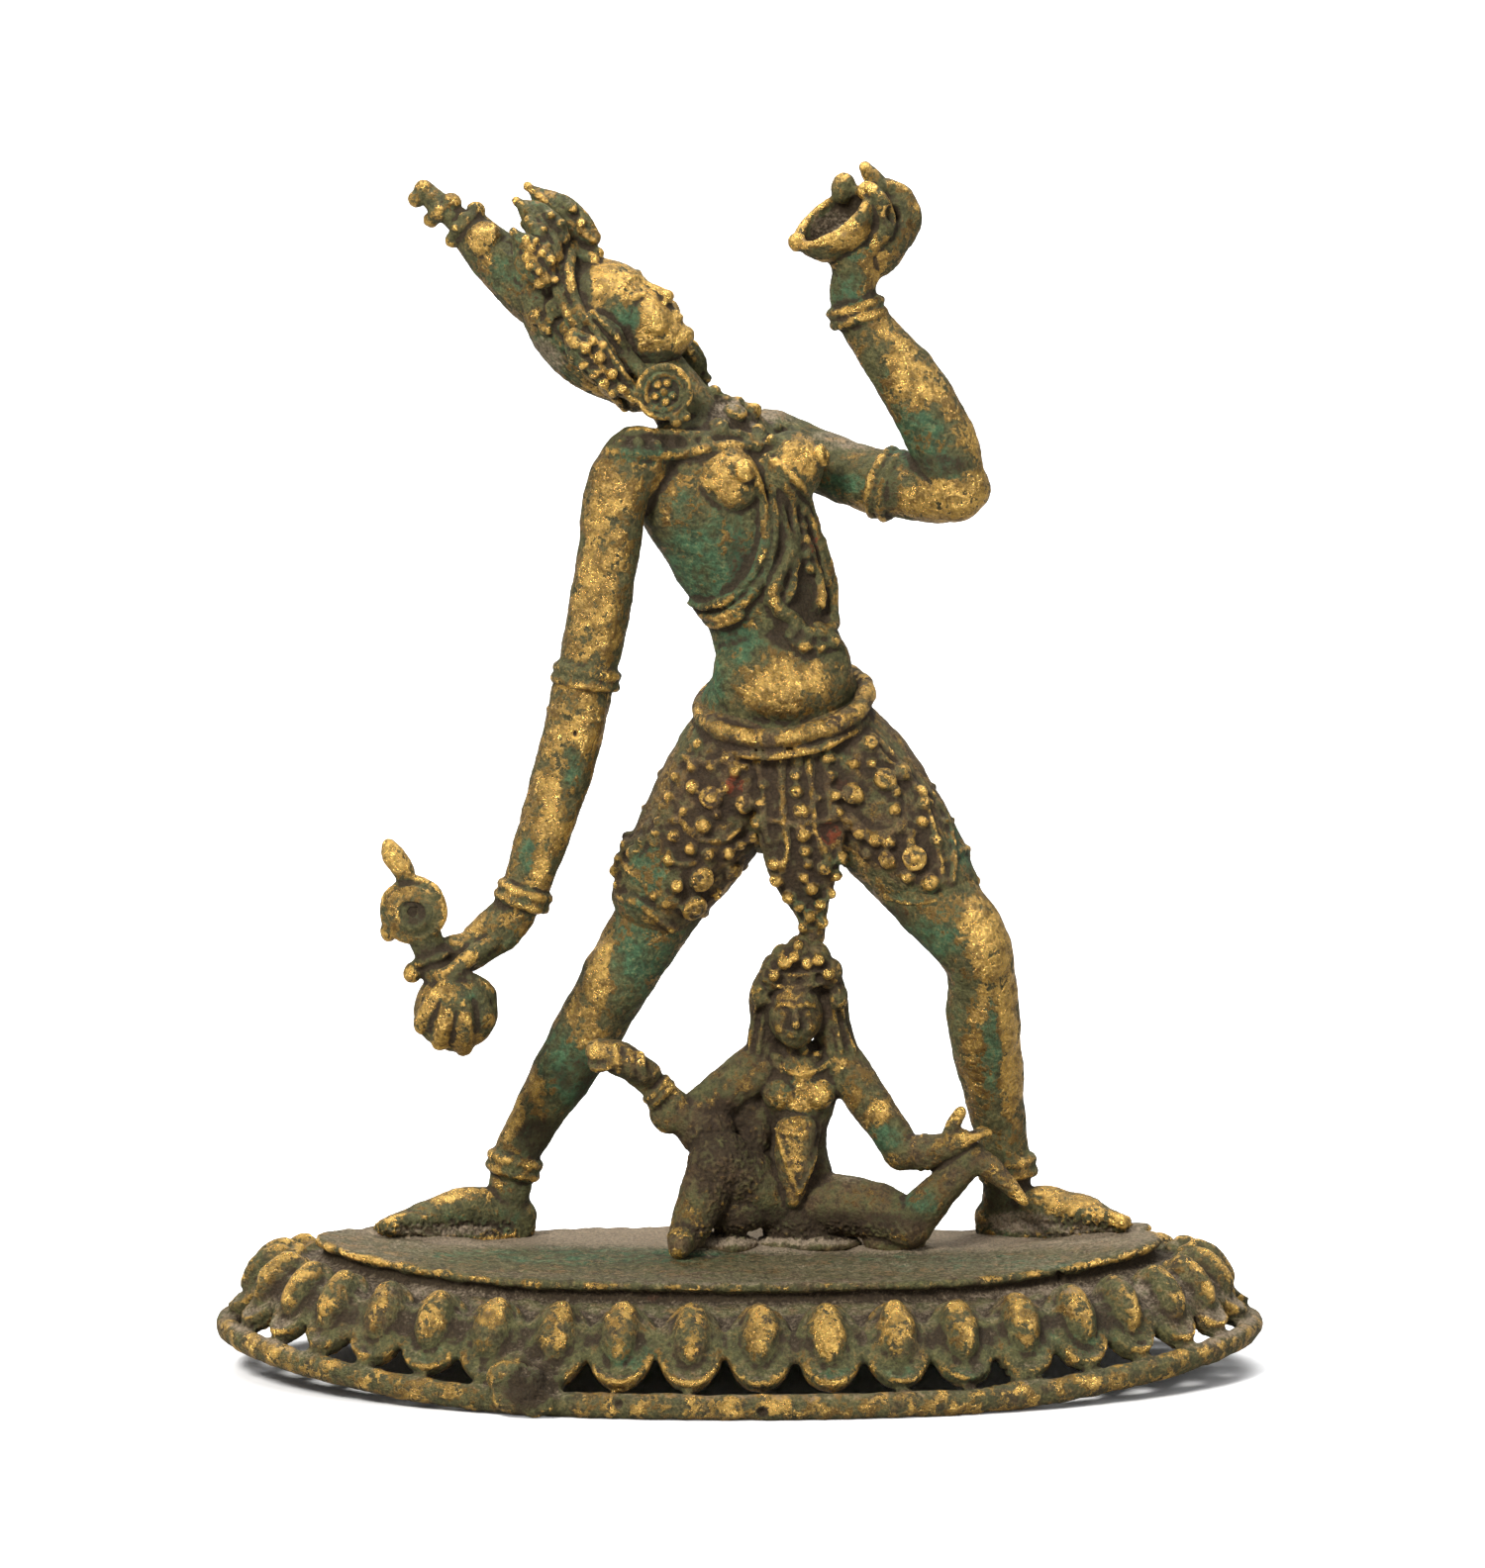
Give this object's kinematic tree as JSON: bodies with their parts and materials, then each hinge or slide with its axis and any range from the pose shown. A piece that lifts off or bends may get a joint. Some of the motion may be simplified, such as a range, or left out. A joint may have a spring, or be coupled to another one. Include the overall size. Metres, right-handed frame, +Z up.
{
  "type": "gilt bronze dakini figure on a lotus base",
  "caption": "Striding dakini leaning back with raised skull cup and lowered chopper, a small crouching figure between her legs, on a hollow oval lotus base",
  "frame": {"origin": "on the ground, under the middle of the oval base", "axes": "+Z up, the figure's front looks along -Y, +X is towards the raised skull cup"},
  "size_m": [0.128, 0.068, 0.1467],
  "materials": {
    "base_bronze": "worn brown bronze with dusty plate, verdigris and traces of gilding on the petals",
    "figure_gilt": "worn fire gilding over dark green and brown patina"
  },
  "bodies": {
    "root": {"lotus_base": "base_bronze", "dakini_figure": "figure_gilt"}
  },
  "joints": []
}
